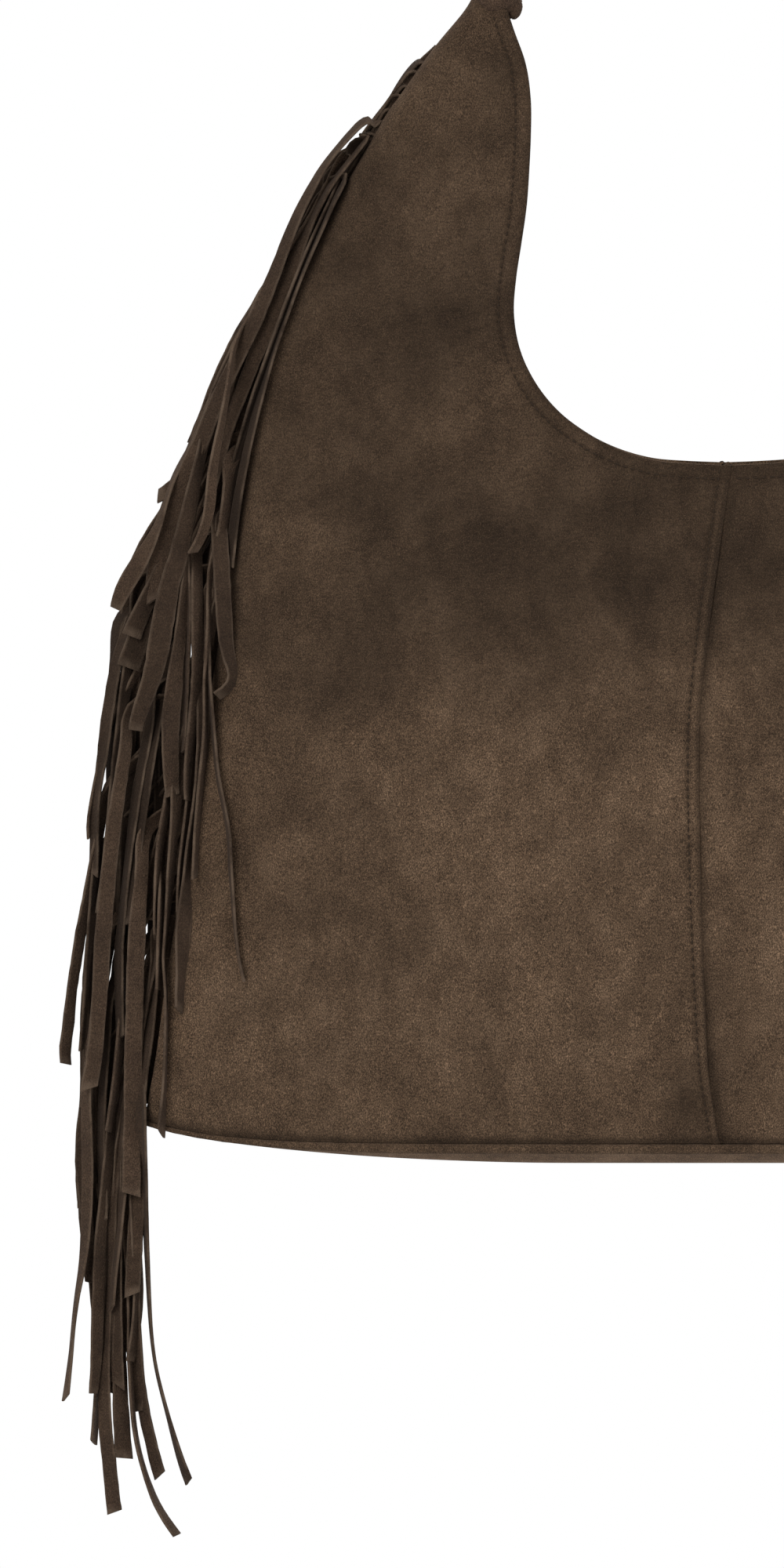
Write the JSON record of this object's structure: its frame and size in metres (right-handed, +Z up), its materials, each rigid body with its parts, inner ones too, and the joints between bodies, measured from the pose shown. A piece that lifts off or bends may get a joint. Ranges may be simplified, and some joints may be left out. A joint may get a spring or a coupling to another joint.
{
  "type": "fringed suede shoulder bag",
  "caption": "Slouchy suede hobo bag with a scooped open mouth, knotted shoulder strap, piped base and long thong fringe in both side seams.",
  "frame": {"origin": "underside of the strap's crest, in its middle, where the bag hangs from a hook or a shoulder", "axes": "+Z up, +X to the right as the front is seen, front faces -Y"},
  "size_m": [0.4922, 0.092, 0.7435],
  "materials": {
    "suede": "brown napped suede",
    "fringe_suede": "brown napped suede, cut into thongs",
    "lining_cloth": "plain woven cotton",
    "snap_metal": "antique brass"
  },
  "bodies": {
    "root": {"front_left_panel": "suede", "front_right_panel": "suede", "back_left_panel": "suede", "back_right_panel": "suede", "base_panel": "suede", "base_welt": "suede", "front_facing": "suede", "back_facing": "suede", "front_lining": "lining_cloth", "back_lining": "lining_cloth", "base_lining": "lining_cloth", "inner_pocket": "lining_cloth", "snap_socket": "snap_metal", "snap_stud": "snap_metal", "left_fringe": "fringe_suede", "right_fringe": "fringe_suede", "strap": "suede"}
  },
  "joints": []
}
